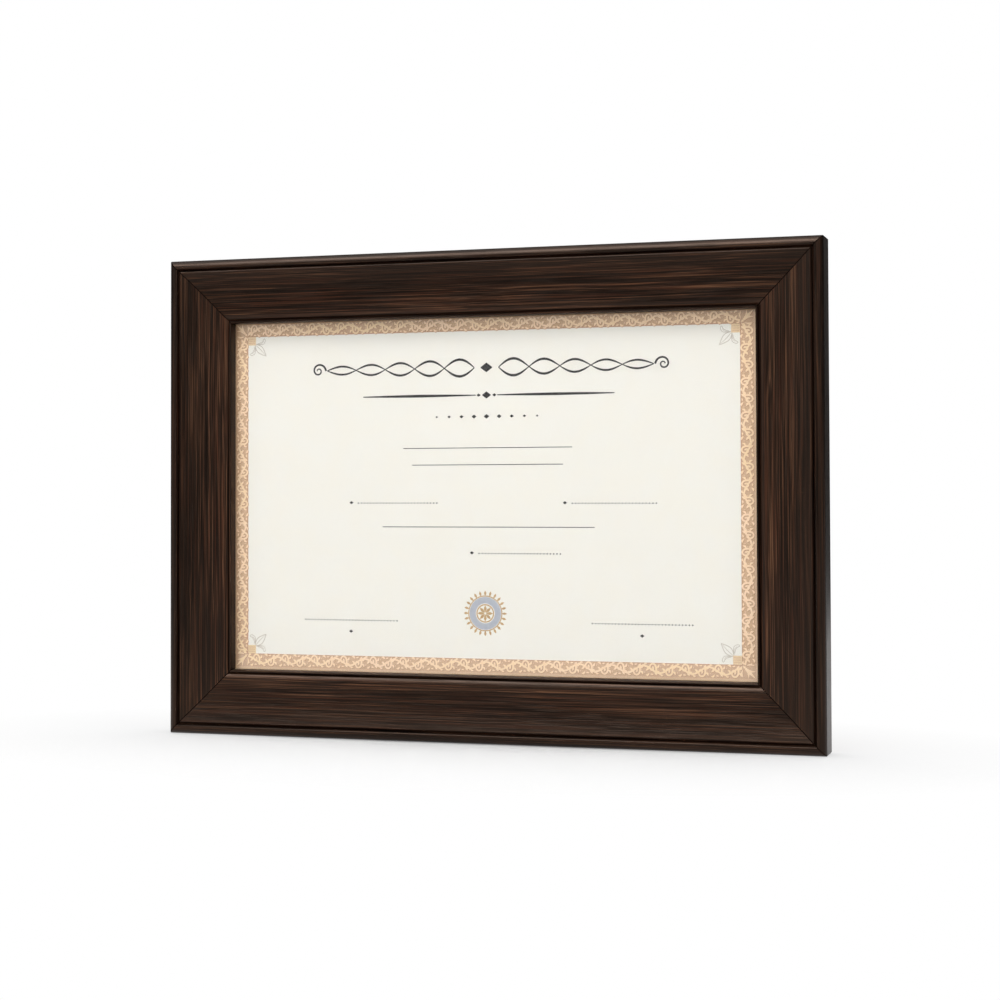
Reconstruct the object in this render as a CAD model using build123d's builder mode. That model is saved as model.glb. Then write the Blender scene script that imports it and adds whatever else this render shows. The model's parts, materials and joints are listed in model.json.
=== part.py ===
from build123d import *
import math
import os

# A certificate frame: four mitred rails hold a glass pane, a certificate and a back panel.
# A strut leg folds out of the back, and a sawtooth plate hangs the frame on a wall.
# Sizes are in millimetres, with x to the right seen from the front, y to the back and z up.
# The origin is the middle of the bottom edge, halfway through the frame's depth.

# Certificate and the sheets stacked with it
SHEET_W = 300.0
SHEET_H = 200.0
SHEET_T = 0.3
SHEET_GAP = 0.15
GLASS_T = 2.0
GLASS_SEAM = 0.2
FILLER_T = 3.0
PANEL_T = 3.0
PANEL_CORNER_R = 2.0
PANEL_RECESS = 0.2
RABBET_PLAY = 0.75

# Moulding section
RAIL_W = 35.5
LIP_OVERLAP = 5.75
LIP_T = 7.15
LIP_W = 1.25
LIP_DROP = 1.4
LIP_FALL = 2.0
LIP_BOW = 0.2
SIGHT_SLOPE = 0.3
QUIRK_W = 1.05
QUIRK_DEPTH = 0.5
INNER_BEAD_W = 4.3
INNER_BEAD_DROP = 0.85
INNER_BEAD_FALL = 1.5
INNER_BEAD_BOW = 0.45
HOLLOW_SAG = 0.85
HOLLOW_DROP = 0.75
HOLLOW_EDGE_W = 0.8
HOLLOW_EDGE_H = 0.7
HOLLOW_EDGE_BOW = 0.1
GROOVE_W = 0.95
GROOVE_DEPTH = 2.0
OUTER_BEAD_W = 5.0
OUTER_BEAD_R = 4.0
OUTER_BEAD_EDGE = 0.8
OUTER_BEAD_EDGE_BOW = 0.12
OUTER_BEAD_STEP = 4.2
BACK_EASE = 0.5
CORNER_R = 0.7

# Corner fasteners, pressed across each mitre from the back
V_NAIL_LEG = 6.0
V_NAIL_T = 0.6
V_NAIL_H = 8.0
V_NAIL_FIRST = 8.0
V_NAIL_PITCH = 11.0
V_NAIL_COUNT = 2

# Strut hinge
HINGE_BELOW_PANEL_TOP = 45.5
OPEN_ANGLE = 20.0
PIN_R = 1.0
PIN_PLAY = 0.05
PIN_HEAD_R = 1.6
PIN_HEAD_T = 0.7
PIN_END_GAP = 0.1
LEAF_T = 0.9
LEAF_W = 34.0
LEAF_H = 17.0
LEAF_NECK = 9.0
LEAF_CORNER_R = 2.5
KNUCKLE_L = 18.0
EAR_T = 0.9
EAR_GAP = 0.15
EAR_DROP = 5.0
HEEL_L = 6.0
STOP_GAP = 0.1
BRACKET_H = 28.0
BRACKET_CORNER_R = 2.0
BRACKET_KNUCKLE_GAP = 0.6

# Strut leg
STRUT_T = 3.0
STRUT_GAP = 0.2
STRUT_TOP_W = 40.0
STRUT_FOOT_W = 62.0
STRUT_CORNER_R = 6.0
STRUT_EAR_GAP = 0.5
STRUT_FOOT_LIFT = 3.0

# Rivets of the hinge
RIVET_R = 1.5
RIVET_PLAY = 0.02
RIVET_HEAD_R = 2.8
RIVET_HEAD_T = 1.0
LEAF_RIVET_PITCH = 20.0
BRACKET_RIVET_FIRST = 11.0
BRACKET_RIVET_PITCH = 12.0

# Share of a fastener head's thickness that is rounded off
HEAD_ROUND = 0.7

# Turn buttons and their screws
BUTTON_T = 1.2
BUTTON_EDGE_R = 0.3
BUTTON_GAP = 0.1
BUTTON_PIVOT_R = 5.0
BUTTON_TIP_R = 3.6
BUTTON_REACH = 12.5
BUTTON_PLAY = 0.08
BUTTON_FROM_RABBET = 7.0
BUTTON_SPREAD = 80.0
SCREW_R = 1.6
SCREW_L = 9.0
SCREW_POINT = 0.8
SCREW_HEAD_R = 3.3
SCREW_HEAD_T = 1.8
SCREW_SLOT_L = 3.6
SCREW_SLOT_W = 0.8
SCREW_SLOT_DEPTH = 0.9
SCREW_PLAY = 0.02

# Sawtooth hanger and its nails
HANGER_W = 45.0
HANGER_H = 9.0
HANGER_T = 0.9
HANGER_FOOT = 7.5
HANGER_RAMP = 2.5
HANGER_STAND = 2.2
HANGER_CORNER_R = 2.0
HANGER_BELOW_TOP = 17.0
TOOTH_PITCH = 2.5
TOOTH_DEPTH = 1.6
TOOTH_COUNT = 8
NAIL_R = 0.8
NAIL_L = 10.0
NAIL_HEAD_R = 1.9
NAIL_HEAD_T = 0.6
NAIL_PLAY = 0.02
NAIL_FROM_END = 3.4

# Worked out from the sizes above
RABBET_DEPTH = GLASS_T + SHEET_GAP + SHEET_T + FILLER_T + PANEL_T + PANEL_RECESS
CREST = RABBET_DEPTH + LIP_T
DEPTH = CREST + OUTER_BEAD_STEP
BACK = DEPTH / 2
RABBET_IN = RAIL_W - LIP_OVERLAP
SHEET_IN = RABBET_IN + RABBET_PLAY
FRAME_W = SHEET_W + 2 * SHEET_IN
FRAME_H = SHEET_H + 2 * SHEET_IN
MIDDLE = FRAME_H / 2
PANEL_BACK = BACK - PANEL_RECESS
KNUCKLE_R = PIN_R + PIN_PLAY + LEAF_T
PIN_Y = PANEL_BACK + KNUCKLE_R
PIN_Z = FRAME_H - SHEET_IN - HINGE_BELOW_PANEL_TOP
EAR_IN = KNUCKLE_L / 2 + EAR_GAP
EAR_OUT = EAR_IN + EAR_T
STRUT_LENGTH = PIN_Z - STRUT_FOOT_LIFT
OPEN_RADIANS = math.radians(OPEN_ANGLE)
LEAN = math.degrees(math.atan2(PIN_Z / STRUT_LENGTH - math.cos(OPEN_RADIANS), math.sin(OPEN_RADIANS)))


def facing_back(y):
    """Plane at depth y seen from behind: its normal points back, its own y axis is up."""
    return Plane(origin=(0, y, 0), x_dir=(-1, 0, 0), z_dir=(0, 1, 0))


def across_hinge(x):
    """Plane square to the hinge pin at x: its own x axis points back and its y axis is up."""
    return Plane(origin=(x, PIN_Y, PIN_Z), x_dir=(0, 1, 0), z_dir=(1, 0, 0))


def write(builder, name):
    """Label a finished piece and write its STEP file."""
    builder.part.label = name
    export_step(builder.part, f"parts/{name}.step")


os.makedirs("parts", exist_ok=True)

# Corner fasteners: an angle of sheet steel with one leg in each rail
v_nail_outline = [
    (-V_NAIL_T / 2, -V_NAIL_T / 2),
    (V_NAIL_LEG, -V_NAIL_T / 2),
    (V_NAIL_LEG, V_NAIL_T / 2),
    (V_NAIL_T / 2, V_NAIL_T / 2),
    (V_NAIL_T / 2, V_NAIL_LEG),
    (-V_NAIL_T / 2, V_NAIL_LEG),
]
v_nail_places = []
for step in range(V_NAIL_COUNT):
    inset = V_NAIL_FIRST + step * V_NAIL_PITCH
    right = FRAME_W / 2 - inset
    top = FRAME_H - inset
    corners = [(-right, inset), (right, inset), (right, top), (-right, top)]
    for turn, (x, z) in enumerate(corners):
        v_nail_places.append(Location((x, z, 0), (0, 0, 90 * turn)))

with BuildPart() as corner_v_nails:
    with BuildSketch(facing_back(BACK)):
        with Locations(*v_nail_places):
            Polygon(*v_nail_outline, align=None)
    extrude(amount=-V_NAIL_H)
write(corner_v_nails, "corner_v_nails")

# Moulding section: x runs in from the outer edge, y runs up from the back
groove_end = OUTER_BEAD_W + GROOVE_W
hollow_top = DEPTH - HOLLOW_DROP
bead_end = RAIL_W - LIP_W - QUIRK_W
bead_top = CREST - INNER_BEAD_DROP
bead_foot = bead_top - INNER_BEAD_FALL
with BuildSketch() as section:
    with BuildLine():
        side = Line((0, 0), (0, DEPTH - OUTER_BEAD_R))
        outer = RadiusArc(side @ 1, (OUTER_BEAD_R, DEPTH), OUTER_BEAD_R)
        crown = Line(outer @ 1, (OUTER_BEAD_W - OUTER_BEAD_EDGE, DEPTH))
        edge = SagittaArc(crown @ 1, (OUTER_BEAD_W, DEPTH - OUTER_BEAD_EDGE), OUTER_BEAD_EDGE_BOW)
        groove = Polyline(
            edge @ 1,
            (OUTER_BEAD_W + GROOVE_W / 2, DEPTH - GROOVE_DEPTH),
            (groove_end, hollow_top - HOLLOW_EDGE_H),
        )
        ease = SagittaArc(groove @ 1, (groove_end + HOLLOW_EDGE_W, hollow_top), HOLLOW_EDGE_BOW)
        hollow = SagittaArc(ease @ 1, (bead_end - INNER_BEAD_W, bead_top), -HOLLOW_SAG)
        bead = SagittaArc(hollow @ 1, (bead_end, bead_foot), INNER_BEAD_BOW)
        quirk = Polyline(
            bead @ 1,
            (bead_end + QUIRK_W / 2, bead_foot - QUIRK_DEPTH),
            (bead_end + QUIRK_W, CREST - LIP_DROP),
        )
        lip = SagittaArc(quirk @ 1, (RAIL_W - SIGHT_SLOPE, CREST - LIP_FALL), LIP_BOW)
        Polyline(
            lip @ 1,
            (RAIL_W, RABBET_DEPTH),
            (RABBET_IN, RABBET_DEPTH),
            (RABBET_IN, 0),
            (0, 0),
        )
    make_face()
    chamfer(section.vertices().sort_by_distance((0, 0))[0], BACK_EASE)

# Turn button places: x, z and the turn that points the tip at the panel, seen from behind
pivot_in = RABBET_IN - BUTTON_FROM_RABBET
button_places = {
    "turn_button_bottom_left": (-BUTTON_SPREAD, pivot_in, 90),
    "turn_button_bottom_right": (BUTTON_SPREAD, pivot_in, 90),
    "turn_button_top_left": (-BUTTON_SPREAD, FRAME_H - pivot_in, -90),
    "turn_button_top_right": (BUTTON_SPREAD, FRAME_H - pivot_in, -90),
    "turn_button_left": (-FRAME_W / 2 + pivot_in, MIDDLE, 180),
    "turn_button_right": (FRAME_W / 2 - pivot_in, MIDDLE, 0),
}
screw_points = [(-x, z) for x, z, turn in button_places.values()]
nail_x = HANGER_W / 2 - NAIL_FROM_END
nail_z = FRAME_H - HANGER_BELOW_TOP
nail_points = [(-nail_x, nail_z), (nail_x, nail_z)]

# Rails: the plane each section is drawn on, the length, and each mitre's corner and kept side
bottom_left = (-FRAME_W / 2, 0, 0)
bottom_right = (FRAME_W / 2, 0, 0)
top_left = (-FRAME_W / 2, 0, FRAME_H)
top_right = (FRAME_W / 2, 0, FRAME_H)
rails = {
    "bottom_rail": (
        Plane(origin=(-FRAME_W / 2, BACK, 0), x_dir=(0, 0, 1), z_dir=(1, 0, 0)),
        FRAME_W,
        [(bottom_left, (1, 0, -1)), (bottom_right, (-1, 0, -1))],
    ),
    "top_rail": (
        Plane(origin=(FRAME_W / 2, BACK, FRAME_H), x_dir=(0, 0, -1), z_dir=(-1, 0, 0)),
        FRAME_W,
        [(top_left, (1, 0, 1)), (top_right, (-1, 0, 1))],
    ),
    "left_rail": (
        Plane(origin=(-FRAME_W / 2, BACK, FRAME_H), x_dir=(1, 0, 0), z_dir=(0, 0, -1)),
        FRAME_H,
        [(bottom_left, (-1, 0, 1)), (top_left, (-1, 0, -1))],
    ),
    "right_rail": (
        Plane(origin=(FRAME_W / 2, BACK, 0), x_dir=(-1, 0, 0), z_dir=(0, 0, 1)),
        FRAME_H,
        [(bottom_right, (1, 0, 1)), (top_right, (1, 0, -1))],
    ),
}
for name, (start, length, mitres) in rails.items():
    with BuildPart() as rail:
        with BuildSketch(start):
            add(section.sketch)
        extrude(amount=length)
        for corner, keep_side in mitres:
            split(bisect_by=Plane(origin=corner, z_dir=keep_side), keep=Keep.TOP)
        with BuildSketch(facing_back(BACK)):
            with Locations((0, MIDDLE)):
                RectangleRounded(FRAME_W, FRAME_H, CORNER_R)
        extrude(amount=-DEPTH, mode=Mode.INTERSECT)
        add(corner_v_nails.part, mode=Mode.SUBTRACT)
        with BuildSketch(facing_back(BACK)):
            with Locations(*screw_points):
                Circle(SCREW_R + SCREW_PLAY)
        extrude(amount=-SCREW_L, mode=Mode.SUBTRACT)
        with BuildSketch(facing_back(BACK)):
            with Locations(*nail_points):
                Circle(NAIL_R + NAIL_PLAY)
        extrude(amount=-NAIL_L, mode=Mode.SUBTRACT)
    write(rail, name)

# Sheets in the rabbet, from the lip to the back
glass_back = BACK - RABBET_DEPTH + GLASS_T
with BuildPart() as glass_pane:
    with BuildSketch(facing_back(glass_back - GLASS_T)):
        with Locations((0, MIDDLE)):
            Rectangle(SHEET_W, SHEET_H)
    extrude(amount=GLASS_T)
    chamfer(glass_pane.edges(), GLASS_SEAM)
write(glass_pane, "glass_pane")

sheet_front = glass_back + SHEET_GAP
with BuildPart() as certificate_sheet:
    with BuildSketch(facing_back(sheet_front)):
        with Locations((0, MIDDLE)):
            Rectangle(SHEET_W, SHEET_H)
    extrude(amount=SHEET_T)
write(certificate_sheet, "certificate_sheet")

filler_front = sheet_front + SHEET_T
with BuildPart() as filler_board:
    with BuildSketch(facing_back(filler_front)):
        with Locations((0, MIDDLE)):
            Rectangle(SHEET_W, SHEET_H)
    extrude(amount=FILLER_T)
write(filler_board, "filler_board")

leaf_rivet_z = PIN_Z + LEAF_NECK + LEAF_H / 2
leaf_rivet_points = [(-LEAF_RIVET_PITCH / 2, leaf_rivet_z), (LEAF_RIVET_PITCH / 2, leaf_rivet_z)]
with BuildPart() as back_panel:
    with BuildSketch(facing_back(PANEL_BACK)):
        with Locations((0, MIDDLE)):
            RectangleRounded(SHEET_W, SHEET_H, PANEL_CORNER_R)
        with Locations(*leaf_rivet_points):
            Circle(RIVET_R + RIVET_PLAY, mode=Mode.SUBTRACT)
    extrude(amount=-PANEL_T)
write(back_panel, "back_panel")

# Hinge leaf: a plate on the panel with a neck rolled round the pin
with BuildPart() as hinge_leaf:
    with BuildSketch(facing_back(PANEL_BACK)) as leaf_outline:
        with Locations((0, PIN_Z + LEAF_NECK)):
            Rectangle(LEAF_W, LEAF_H, align=(Align.CENTER, Align.MIN))
        fillet(leaf_outline.vertices(), LEAF_CORNER_R)
        with Locations((0, PIN_Z)):
            Rectangle(KNUCKLE_L, LEAF_NECK + LEAF_H / 2, align=(Align.CENTER, Align.MIN))
        with Locations(*leaf_rivet_points):
            Circle(RIVET_R + RIVET_PLAY, mode=Mode.SUBTRACT)
    extrude(amount=LEAF_T)
    with BuildSketch(across_hinge(-KNUCKLE_L / 2)):
        Circle(KNUCKLE_R)
    extrude(amount=KNUCKLE_L)
    with BuildSketch(across_hinge(-KNUCKLE_L / 2)):
        Circle(PIN_R + PIN_PLAY)
    extrude(amount=KNUCKLE_L, mode=Mode.SUBTRACT)
write(hinge_leaf, "hinge_leaf")

with BuildPart() as hinge_pin:
    with BuildSketch(across_hinge(-EAR_OUT - PIN_END_GAP)):
        Circle(PIN_R)
    extrude(amount=2 * (EAR_OUT + PIN_END_GAP))
    for end, way in ((EAR_OUT + PIN_END_GAP, 1), (-EAR_OUT - PIN_END_GAP, -1)):
        with BuildSketch(across_hinge(end)):
            Circle(PIN_HEAD_R)
        extrude(amount=way * PIN_HEAD_T)
    fillet(hinge_pin.faces().sort_by(Axis.X)[0].edges(), HEAD_ROUND * PIN_HEAD_T)
    fillet(hinge_pin.faces().sort_by(Axis.X)[-1].edges(), HEAD_ROUND * PIN_HEAD_T)
write(hinge_pin, "hinge_pin")

# Hinge bracket: a plate under the leg with two ears on the pin, whose heels stop the leg
bracket_face = PANEL_BACK + STRUT_GAP
bracket_top = PIN_Z - KNUCKLE_R - BRACKET_KNUCKLE_GAP
strut_top = PIN_Z - EAR_DROP - STRUT_EAR_GAP
bracket_rivet_points = [
    (0, PIN_Z - BRACKET_RIVET_FIRST),
    (0, PIN_Z - BRACKET_RIVET_FIRST - BRACKET_RIVET_PITCH),
]
ear_reach = KNUCKLE_R - STRUT_GAP
heel_reach = KNUCKLE_R - STOP_GAP
with BuildPart() as hinge_bracket:
    with BuildSketch(facing_back(bracket_face)) as plate:
        with Locations((0, bracket_top)):
            Rectangle(2 * EAR_OUT, BRACKET_H, align=(Align.CENTER, Align.MAX))
        fillet(plate.vertices().group_by(Axis.Y)[0], BRACKET_CORNER_R)
        with Locations(*bracket_rivet_points):
            Circle(RIVET_R + RIVET_PLAY, mode=Mode.SUBTRACT)
    extrude(amount=LEAF_T)
    for ear_x in (-EAR_OUT, EAR_IN):
        with BuildSketch(across_hinge(ear_x)):
            Circle(ear_reach)
            with Locations((-ear_reach, 0)):
                Rectangle(ear_reach + KNUCKLE_R, EAR_DROP, align=(Align.MIN, Align.MAX))
            with Locations(Rot(0, 0, -OPEN_ANGLE) * Pos(-heel_reach, 0)):
                Rectangle(heel_reach + PIN_R, HEEL_L, align=(Align.MIN, Align.MIN))
            Circle(PIN_R + PIN_PLAY, mode=Mode.SUBTRACT)
        extrude(amount=EAR_T)
write(hinge_bracket, "hinge_bracket")

# Strut leg: tapered board, its foot cut to stand flat when the frame leans on it
strut_face = bracket_face + LEAF_T
with BuildPart() as strut_leg:
    with BuildSketch(facing_back(strut_face)) as leg:
        with BuildLine():
            Polyline(
                (-STRUT_TOP_W / 2, strut_top),
                (STRUT_TOP_W / 2, strut_top),
                (STRUT_FOOT_W / 2, STRUT_FOOT_LIFT),
                (-STRUT_FOOT_W / 2, STRUT_FOOT_LIFT),
                close=True,
            )
        make_face()
        fillet(leg.vertices().group_by(Axis.Y)[-1], STRUT_CORNER_R)
        with Locations(*bracket_rivet_points):
            Circle(RIVET_R + RIVET_PLAY, mode=Mode.SUBTRACT)
    extrude(amount=STRUT_T)
    foot_cut = Plane(origin=(0, strut_face, STRUT_FOOT_LIFT), x_dir=(1, 0, 0), z_dir=(0, 0, 1))
    split(bisect_by=foot_cut.rotated((OPEN_ANGLE - LEAN, 0, 0)), keep=Keep.TOP)
write(strut_leg, "strut_leg")


def rivet(length):
    """Round-head rivet along +Z: the shank ends at zero, under its head at the length."""
    with BuildPart() as blank:
        with BuildSketch():
            Circle(RIVET_R)
        extrude(amount=length)
        with BuildSketch(Plane.XY.offset(length)):
            Circle(RIVET_HEAD_R)
        extrude(amount=RIVET_HEAD_T)
        fillet(blank.faces().sort_by(Axis.Z)[-1].edges(), HEAD_ROUND * RIVET_HEAD_T)
    return blank.part


leaf_rivet = rivet(PANEL_T + LEAF_T)
with BuildPart(facing_back(PANEL_BACK - PANEL_T)) as leaf_rivets:
    with Locations(*leaf_rivet_points):
        add(leaf_rivet)
write(leaf_rivets, "leaf_rivets")

bracket_rivet = rivet(LEAF_T + STRUT_T)
with BuildPart(facing_back(bracket_face)) as bracket_rivets:
    with Locations(*bracket_rivet_points):
        add(bracket_rivet)
write(bracket_rivets, "bracket_rivets")

# Turn buttons: flat tapered plates free to turn on their screws
for name, (x, z, turn) in button_places.items():
    with BuildPart() as turn_button:
        with BuildSketch(facing_back(BACK + BUTTON_GAP)):
            with Locations(Location((-x, z, 0), (0, 0, turn))):
                with BuildSketch(mode=Mode.PRIVATE) as outline:
                    Circle(BUTTON_PIVOT_R)
                    with Locations((BUTTON_REACH, 0)):
                        Circle(BUTTON_TIP_R)
                    make_hull()
                    Circle(SCREW_R + BUTTON_PLAY, mode=Mode.SUBTRACT)
                add(outline.sketch)
        extrude(amount=BUTTON_T)
        rim = turn_button.faces().sort_by(Axis.Y)[-1].outer_wire().edges()
        fillet(rim, BUTTON_EDGE_R)
    write(turn_button, name)

# Screws of the turn buttons, with a cross slot
screw_seat = BUTTON_GAP + BUTTON_T + BUTTON_GAP
with BuildPart() as screw:
    with BuildSketch():
        Circle(SCREW_R)
    extrude(amount=-SCREW_L)
    extrude(screw.faces().sort_by(Axis.Z)[-1], amount=screw_seat)
    with BuildSketch(Plane.XY.offset(screw_seat)):
        Circle(SCREW_HEAD_R)
    extrude(amount=SCREW_HEAD_T)
    fillet(screw.faces().sort_by(Axis.Z)[-1].edges(), HEAD_ROUND * SCREW_HEAD_T)
    with BuildSketch(Plane.XY.offset(screw_seat + SCREW_HEAD_T)):
        Rectangle(SCREW_SLOT_L, SCREW_SLOT_W)
        Rectangle(SCREW_SLOT_W, SCREW_SLOT_L)
    extrude(amount=-SCREW_SLOT_DEPTH, mode=Mode.SUBTRACT)
    chamfer(screw.faces().sort_by(Axis.Z)[0].edges(), SCREW_POINT)

with BuildPart(facing_back(BACK)) as turn_button_screws:
    with Locations(*screw_points):
        add(screw.part)
write(turn_button_screws, "turn_button_screws")

# Sawtooth hanger: a strip bowed off the rail, with teeth along its lower edge
foot_end = HANGER_W / 2
ramp_start = foot_end - HANGER_FOOT
ramp_end = ramp_start - HANGER_RAMP
strip_half = [(0, HANGER_STAND), (ramp_end, HANGER_STAND), (ramp_start, 0), (foot_end, 0)]
strip_outline = [(x, y + HANGER_T) for x, y in reversed(strip_half)]
strip_outline += [(-x, y + HANGER_T) for x, y in strip_half[1:]]
strip_outline += [(-x, y) for x, y in reversed(strip_half)]
strip_outline += strip_half[1:]
with BuildPart() as sawtooth_hanger:
    with BuildSketch(Plane(origin=(0, BACK, nail_z - HANGER_H / 2))):
        Polygon(*strip_outline, align=None)
    extrude(amount=HANGER_H)
    with BuildSketch(facing_back(BACK)):
        with Locations((0, nail_z)):
            RectangleRounded(HANGER_W, HANGER_H, HANGER_CORNER_R)
        with Locations(*nail_points):
            Circle(NAIL_R + NAIL_PLAY, mode=Mode.SUBTRACT)
    extrude(amount=HANGER_STAND + HANGER_T, mode=Mode.INTERSECT)
    with BuildSketch(facing_back(BACK)):
        with Locations((0, nail_z - HANGER_H / 2)):
            with GridLocations(TOOTH_PITCH, 0, TOOTH_COUNT, 1):
                Polygon((-TOOTH_PITCH / 2, 0), (TOOTH_PITCH / 2, 0), (0, TOOTH_DEPTH), align=None)
    extrude(amount=HANGER_STAND + HANGER_T, mode=Mode.SUBTRACT)
write(sawtooth_hanger, "sawtooth_hanger")

with BuildPart() as nail:
    with BuildSketch():
        Circle(NAIL_R)
    extrude(amount=-NAIL_L)
    extrude(nail.faces().sort_by(Axis.Z)[-1], amount=HANGER_T)
    with BuildSketch(Plane.XY.offset(HANGER_T)):
        Circle(NAIL_HEAD_R)
    extrude(amount=NAIL_HEAD_T)
    fillet(nail.faces().sort_by(Axis.Z)[-1].edges(), HEAD_ROUND * NAIL_HEAD_T)

with BuildPart(facing_back(BACK)) as hanger_nails:
    with Locations(*nail_points):
        add(nail.part)
write(hanger_nails, "hanger_nails")
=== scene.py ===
import json
import math

import bmesh
import bpy
from mathutils import Matrix, Vector


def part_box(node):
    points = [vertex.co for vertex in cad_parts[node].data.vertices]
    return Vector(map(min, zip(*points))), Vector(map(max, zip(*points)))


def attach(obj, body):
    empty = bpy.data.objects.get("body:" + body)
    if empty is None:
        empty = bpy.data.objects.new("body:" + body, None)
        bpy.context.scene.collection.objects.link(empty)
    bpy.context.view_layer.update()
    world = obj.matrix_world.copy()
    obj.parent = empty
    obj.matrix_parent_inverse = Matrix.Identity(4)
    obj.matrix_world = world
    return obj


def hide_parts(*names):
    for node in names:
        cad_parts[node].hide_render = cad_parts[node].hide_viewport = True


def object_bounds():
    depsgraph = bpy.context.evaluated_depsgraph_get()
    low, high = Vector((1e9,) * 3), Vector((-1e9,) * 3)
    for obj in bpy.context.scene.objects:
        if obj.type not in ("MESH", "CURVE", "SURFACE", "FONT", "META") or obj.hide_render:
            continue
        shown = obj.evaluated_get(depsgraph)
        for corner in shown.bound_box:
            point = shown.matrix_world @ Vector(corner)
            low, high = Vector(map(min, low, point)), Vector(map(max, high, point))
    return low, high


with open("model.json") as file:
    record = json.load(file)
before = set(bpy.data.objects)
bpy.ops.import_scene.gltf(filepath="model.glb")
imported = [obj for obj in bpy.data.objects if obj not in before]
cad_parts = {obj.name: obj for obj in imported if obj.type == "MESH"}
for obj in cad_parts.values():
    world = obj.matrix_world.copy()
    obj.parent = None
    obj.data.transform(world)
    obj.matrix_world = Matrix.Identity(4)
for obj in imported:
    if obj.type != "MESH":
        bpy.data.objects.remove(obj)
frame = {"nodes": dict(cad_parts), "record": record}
cad_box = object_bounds()

# Looks of a certificate frame: dark moulding, glass, printed certificate, hardboard back and fittings.
# Sizes are in millimetres and become metres through MM. From the front, x runs right, y back and z up.
MM = 0.001

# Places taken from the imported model
frame_low, frame_high = (Vector(corner) / MM for corner in cad_box)
rail_low, rail_high = (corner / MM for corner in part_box("bottom_rail"))
sheet_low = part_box("certificate_sheet")[0] / MM
glass_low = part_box("glass_pane")[0] / MM
FRAME_W = frame_high.x - frame_low.x
FRAME_H = frame_high.z - frame_low.z
RAIL_W = rail_high.z - rail_low.z
DEPTH = rail_high.y - rail_low.y
BACK = rail_high.y
MIDDLE = FRAME_H / 2
PAPER_FACE = sheet_low.y
RABBET_DEPTH = BACK - glass_low.y

# Moulding section, as in the model's source
RABBET_IN = 29.75
LIP_T = 7.15
LIP_W = 1.25
LIP_DROP = 1.4
LIP_FALL = 2.0
LIP_BOW = 0.2
SIGHT_SLOPE = 0.3
QUIRK_W = 1.05
QUIRK_DEPTH = 0.5
INNER_BEAD_W = 4.3
INNER_BEAD_DROP = 0.85
INNER_BEAD_FALL = 1.5
INNER_BEAD_BOW = 0.45
HOLLOW_SAG = 0.85
HOLLOW_DROP = 0.75
HOLLOW_EDGE_W = 0.8
HOLLOW_EDGE_H = 0.7
HOLLOW_EDGE_BOW = 0.1
GROOVE_W = 0.95
GROOVE_DEPTH = 2.0
OUTER_BEAD_W = 5.0
OUTER_BEAD_R = 4.0
OUTER_BEAD_EDGE = 0.8
OUTER_BEAD_EDGE_BOW = 0.12
BACK_EASE = 0.5
CORNER_R = 0.7
BACK_SKIN = 0.02
MITRE_EASE = 0.26
CORNER_CUTS = 4
QUARTER_RISE = 1 - math.cos(math.pi / 4)

# Edges sharper than this stay crisp, and faces that look this far back show the bare stock
SMOOTH_ANGLE = math.radians(32.0)
BACKWARD = 0.9


def vec(*values):
    """A point in millimetres as a vector in metres."""
    return Vector(values) * MM


def finish_piece(name, mesh, materials, smooth=True):
    """Make a mesh a named piece that rides on the frame, with the given materials."""
    mesh.name = name
    for material in materials:
        mesh.materials.append(material)
    for face in mesh.polygons:
        face.use_smooth = smooth
    if smooth:
        mesh.set_sharp_from_angle(angle=SMOOTH_ANGLE)
    piece = bpy.data.objects.new(name, mesh)
    bpy.context.scene.collection.objects.link(piece)
    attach(piece, "frame")
    return piece


# Shader helpers
def feed(tree, socket, value):
    """Link a socket to another node's output, or set it to a plain value."""
    if isinstance(value, bpy.types.NodeSocket):
        tree.links.new(value, socket)
    else:
        socket.default_value = value


def feed_named(tree, made, inputs):
    """Feed a node's inputs by name, with underscores for spaces."""
    for key, value in inputs.items():
        feed(tree, made.inputs[key.replace("_", " ")], value)


def add(tree, kind, settings=None, **inputs):
    """Add a node, set its properties, then feed its inputs by name."""
    made = tree.nodes.new("ShaderNode" + kind)
    for key, value in (settings or {}).items():
        setattr(made, key, value)
    feed_named(tree, made, inputs)
    return made


def mix_colours(tree, factor, first, second, blend="MIX"):
    """Mix two colours, each a socket or an RGBA value."""
    made = tree.nodes.new("ShaderNodeMix")
    made.data_type = "RGBA"
    made.blend_type = blend
    sockets = [s for s in made.inputs if s.enabled]
    for socket, value in zip(sockets, (factor, first, second)):
        feed(tree, socket, value)
    return [s for s in made.outputs if s.enabled][0]


def ramp(tree, factor, stops):
    """A colour ramp through (position, colour) stops."""
    made = add(tree, "ValToRGB", Fac=factor)
    elements = made.color_ramp.elements
    while len(elements) < len(stops):
        elements.new(0.5)
    for element, (position, colour) in zip(elements, stops):
        element.position = position
        element.color = colour
    return made.outputs["Color"]


def grey(value):
    """A grey as an RGBA colour."""
    return (value, value, value, 1.0)


def srgb(red, green, blue):
    """An 8-bit display colour as linear RGBA."""
    linear = []
    for level in (red, green, blue):
        share = level / 255
        linear.append(share / 12.92 if share <= 0.04045 else ((share + 0.055) / 1.055) ** 2.4)
    return (*linear, 1.0)


def new_group(name, inputs, outputs):
    """An empty shader node group with named sockets, and its input and output nodes."""
    group = bpy.data.node_groups.new(name, "ShaderNodeTree")
    for label, kind in inputs:
        group.interface.new_socket(label, in_out="INPUT", socket_type="NodeSocket" + kind)
    for label, kind in outputs:
        group.interface.new_socket(label, in_out="OUTPUT", socket_type="NodeSocket" + kind)
    entry = group.nodes.new("NodeGroupInput")
    leave = group.nodes.new("NodeGroupOutput")
    return group, entry, leave


def use_group(tree, group, **inputs):
    """Place a group in a material, with its inputs by name."""
    made = tree.nodes.new("ShaderNodeGroup")
    made.node_tree = group
    feed_named(tree, made, inputs)
    return made


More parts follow.
